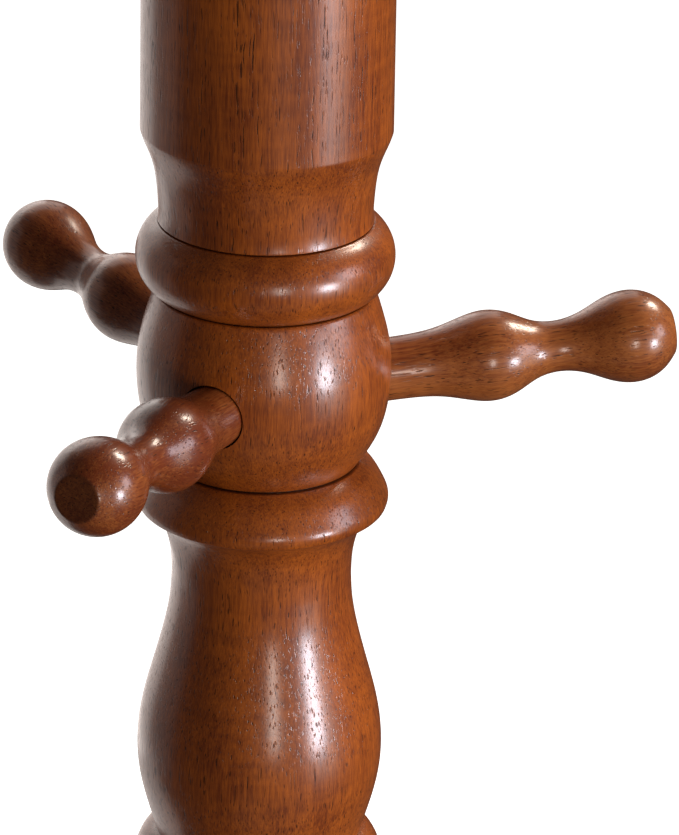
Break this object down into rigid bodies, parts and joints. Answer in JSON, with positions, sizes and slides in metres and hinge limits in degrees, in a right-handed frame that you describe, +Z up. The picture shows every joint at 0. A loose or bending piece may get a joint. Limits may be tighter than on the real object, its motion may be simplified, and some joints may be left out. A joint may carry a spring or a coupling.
{
  "type": "coat tree",
  "caption": "Turned wooden coat tree: a sectional post on scroll legs, with double-ball pegs set round ball hubs and an urn finial on top.",
  "frame": {"origin": "on the floor, under the axis of the post", "axes": "+Z up along the post, +X under the first peg of the lower hub and along the first leg, +Y along the second leg"},
  "size_m": [0.5506, 0.5506, 1.8],
  "materials": {
    "post_lacquered_wood": "gloss lacquer over reddish brown stain",
    "peg_lacquered_wood": "gloss lacquer over reddish brown stain",
    "leg_lacquered_wood": "gloss lacquer over reddish brown stain",
    "plate_steel": "rolled steel, lightly oiled",
    "zinc_plated_steel": "zinc plated",
    "insert_brass": "turned",
    "bare_beech": "unfinished, glued in",
    "glide_plastic": "matt, slightly scuffed"
  },
  "bodies": {
    "root": {"base_block": "post_lacquered_wood", "lower_column": "post_lacquered_wood", "hub_section": "post_lacquered_wood", "upper_column": "post_lacquered_wood", "crown_section": "post_lacquered_wood", "finial": "post_lacquered_wood", "lower_peg_1": "peg_lacquered_wood", "lower_peg_2": "peg_lacquered_wood", "lower_peg_3": "peg_lacquered_wood", "middle_peg_1": "peg_lacquered_wood", "middle_peg_2": "peg_lacquered_wood", "middle_peg_3": "peg_lacquered_wood", "top_peg_1": "peg_lacquered_wood", "top_peg_2": "peg_lacquered_wood", "top_peg_3": "peg_lacquered_wood", "leg_1": "leg_lacquered_wood", "leg_2": "leg_lacquered_wood", "leg_3": "leg_lacquered_wood", "leg_4": "leg_lacquered_wood", "spider_plate": "plate_steel", "plate_screws": "zinc_plated_steel", "seam_studs": "zinc_plated_steel", "seam_inserts": "insert_brass", "finial_dowel": "bare_beech", "foot_glides": "glide_plastic"}
  },
  "joints": []
}
